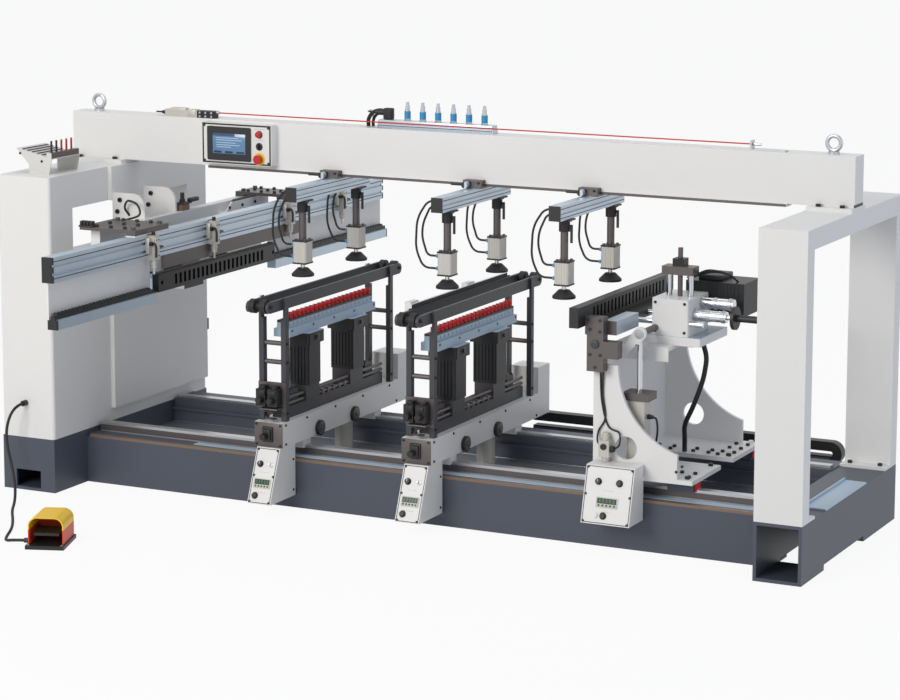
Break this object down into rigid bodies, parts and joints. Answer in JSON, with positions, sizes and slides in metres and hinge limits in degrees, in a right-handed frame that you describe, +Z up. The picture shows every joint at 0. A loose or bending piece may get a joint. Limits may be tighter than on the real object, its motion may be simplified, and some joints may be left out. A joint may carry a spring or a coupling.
{
  "type": "line boring machine",
  "caption": "Line boring machine: stands and a cross beam with pressers, drilling heads on a bed, side drilling units, a long fence and a foot pedal.",
  "frame": {"origin": "floor level under the middle of the machine's outline, without the pedal's cord", "axes": "+X along the bed from the left stand to the right stand, +Y to the machine's rear, +Z up"},
  "size_m": [3.235, 2.6946, 1.513],
  "materials": {
    "white_paint": "satin",
    "dark_paint": "satin",
    "charcoal_paint": "satin",
    "brown_steel": "satin",
    "bright_steel": "satin",
    "chrome": "polished",
    "aluminium": "satin",
    "black_plastic": "matte",
    "red_plastic": "gloss",
    "yellow_plastic": "gloss",
    "red_paint": "gloss",
    "black_rubber": "matte"
  },
  "bodies": {
    "root": {"left_base": "dark_paint", "left_stand": "white_paint", "right_base": "dark_paint", "right_stand": "white_paint", "front_bed_beam": "dark_paint", "rear_bed_beam": "dark_paint", "linear_rails": "bright_steel", "cross_beam": "white_paint", "beam_fasteners": "dark_paint", "operator_panel": "white_paint", "rope_switch": "bright_steel", "air_manifold": "aluminium", "tool_rack": "white_paint", "energy_chain": "black_plastic", "left_bridge": "white_paint", "fence_beam": "aluminium", "roller_rails": "aluminium", "pedal_base": "black_plastic", "pedal_hood": "yellow_plastic", "pedal_cord": "black_rubber"},
    "estop": {"estop_button": "red_plastic"},
    "selector": {"selector_knob": "black_plastic"},
    "rope_pull": {"pull_wire": "red_plastic"},
    "stop_rods": {"stop_rods": "chrome"},
    "left_drill": {"left_drill_unit": "black_plastic"},
    "treadle": {"pedal_treadle": "black_plastic"},
    "head_1": {"head_1_saddle": "white_paint", "head_1_control_box": "white_paint", "head_1_support_frame": "charcoal_paint"},
    "head_1_knob": {"head_1_knob": "black_plastic"},
    "head_1_front_rollers": {"head_1_front_rollers": "black_rubber"},
    "head_1_rear_rollers": {"head_1_rear_rollers": "black_rubber"},
    "head_1_drill": {"head_1_drill_block": "aluminium", "head_1_chucks": "red_paint"},
    "head_2": {"head_2_saddle": "white_paint", "head_2_control_box": "white_paint", "head_2_support_frame": "charcoal_paint"},
    "head_2_knob": {"head_2_knob": "black_plastic"},
    "head_2_front_rollers": {"head_2_front_rollers": "black_rubber"},
    "head_2_rear_rollers": {"head_2_rear_rollers": "black_rubber"},
    "head_2_drill": {"head_2_drill_block": "aluminium", "head_2_chucks": "red_paint"},
    "presser_1": {"presser_1_arm": "aluminium", "presser_1_cylinders": "aluminium", "presser_1_hoses": "black_rubber"},
    "presser_1_feet": {"presser_1_feet": "black_rubber"},
    "presser_2": {"presser_2_arm": "aluminium", "presser_2_cylinders": "aluminium", "presser_2_hoses": "black_rubber"},
    "presser_2_feet": {"presser_2_feet": "black_rubber"},
    "presser_3": {"presser_3_arm": "aluminium", "presser_3_cylinders": "aluminium", "presser_3_hoses": "black_rubber"},
    "presser_3_feet": {"presser_3_feet": "black_rubber"},
    "right_unit": {"right_frame": "white_paint", "right_control_box": "white_paint", "right_hoses": "black_rubber"},
    "right_knob": {"right_knob": "black_plastic"},
    "right_head": {"right_head": "brown_steel"},
    "right_drill": {"right_drill_unit": "black_plastic"}
  },
  "joints": [
    {"name": "head_1_slide", "type": "slide", "parent": "root", "child": "head_1", "axis": [1, 0, 0], "range_m": [-0.35, 0.23]},
    {"name": "head_1_lift", "type": "slide", "parent": "head_1", "child": "head_1_drill", "axis": [0, 0, 1], "range_m": [0, 0.062]},
    {"name": "head_1_knob_turn", "type": "hinge", "parent": "head_1", "child": "head_1_knob", "pos_m": [-0.5215, -0.53376, 0.18956], "axis": [0, -0.9304, 0.3665], "continuous": true},
    {"name": "head_1_front_roller_turn", "type": "hinge", "parent": "head_1", "child": "head_1_front_rollers", "pos_m": [-0.5055, -0.55774, 0.7885], "axis": [1, 0, 0], "continuous": true},
    {"name": "head_1_rear_roller_turn", "type": "hinge", "parent": "head_1", "child": "head_1_rear_rollers", "pos_m": [-0.5055, 0.45226, 0.7885], "axis": [1, 0, 0], "continuous": true},
    {"name": "head_2_slide", "type": "slide", "parent": "root", "child": "head_2", "axis": [1, 0, 0], "range_m": [-0.23, 0.2]},
    {"name": "head_2_lift", "type": "slide", "parent": "head_2", "child": "head_2_drill", "axis": [0, 0, 1], "range_m": [0, 0.062]},
    {"name": "head_2_knob_turn", "type": "hinge", "parent": "head_2", "child": "head_2_knob", "pos_m": [0.0955, -0.53376, 0.18956], "axis": [0, -0.9304, 0.3665], "continuous": true},
    {"name": "head_2_front_roller_turn", "type": "hinge", "parent": "head_2", "child": "head_2_front_rollers", "pos_m": [0.1115, -0.55774, 0.7885], "axis": [1, 0, 0], "continuous": true},
    {"name": "head_2_rear_roller_turn", "type": "hinge", "parent": "head_2", "child": "head_2_rear_rollers", "pos_m": [0.1115, 0.45226, 0.7885], "axis": [1, 0, 0], "continuous": true},
    {"name": "presser_1_slide", "type": "slide", "parent": "root", "child": "presser_1", "axis": [1, 0, 0], "range_m": [-0.3, 0.2]},
    {"name": "presser_1_press", "type": "slide", "parent": "presser_1", "child": "presser_1_feet", "axis": [0, 0, 1], "range_m": [-0.045, 0]},
    {"name": "presser_2_slide", "type": "slide", "parent": "root", "child": "presser_2", "axis": [1, 0, 0], "range_m": [-0.2, 0.15]},
    {"name": "presser_2_press", "type": "slide", "parent": "presser_2", "child": "presser_2_feet", "axis": [0, 0, 1], "range_m": [-0.045, 0]},
    {"name": "presser_3_slide", "type": "slide", "parent": "root", "child": "presser_3", "axis": [1, 0, 0], "range_m": [-0.15, 0]},
    {"name": "presser_3_press", "type": "slide", "parent": "presser_3", "child": "presser_3_feet", "axis": [0, 0, 1], "range_m": [-0.045, 0]},
    {"name": "right_unit_slide", "type": "slide", "parent": "root", "child": "right_unit", "axis": [1, 0, 0], "range_m": [0, 0.22]},
    {"name": "right_lift", "type": "slide", "parent": "right_unit", "child": "right_head", "axis": [0, 0, 1], "range_m": [0, 0.03]},
    {"name": "right_feed", "type": "slide", "parent": "right_head", "child": "right_drill", "axis": [1, 0, 0], "range_m": [-0.04, 0]},
    {"name": "right_knob_turn", "type": "hinge", "parent": "right_unit", "child": "right_knob", "pos_m": [0.828, -0.48968, 0.26035], "axis": [0, -0.969, 0.2471], "continuous": true},
    {"name": "left_drill_feed", "type": "slide", "parent": "root", "child": "left_drill", "axis": [1, 0, 0], "range_m": [0, 0.05]},
    {"name": "stop_rods_lift", "type": "slide", "parent": "root", "child": "stop_rods", "axis": [0, 0, 1], "range_m": [0, 0.03]},
    {"name": "estop_push", "type": "slide", "parent": "root", "child": "estop", "axis": [0, 1, 0], "range_m": [0, 0.005]},
    {"name": "selector_turn", "type": "hinge", "parent": "root", "child": "selector", "pos_m": [-0.7415, -0.14974, 1.321], "axis": [0, 1, 0], "range_deg": [-45, 45]},
    {"name": "rope_pull", "type": "slide", "parent": "root", "child": "rope_pull", "axis": [1, 0, 0], "range_m": [0, 0.006], "stiffness_N_per_m": 3000, "springref_m": -0.004},
    {"name": "treadle_press", "type": "hinge", "parent": "root", "child": "treadle", "pos_m": [-0.98618, -1.20115, 0.048], "axis": [0.9397, 0.342, 0], "range_deg": [0, 12], "stiffness_Nm_per_rad": 6, "springref_deg": -11.46}
  ],
  "couplings": [
    {"joint": "presser_2_press", "follows": "presser_1_press", "ratio": 1},
    {"joint": "presser_3_press", "follows": "presser_1_press", "ratio": 1}
  ]
}
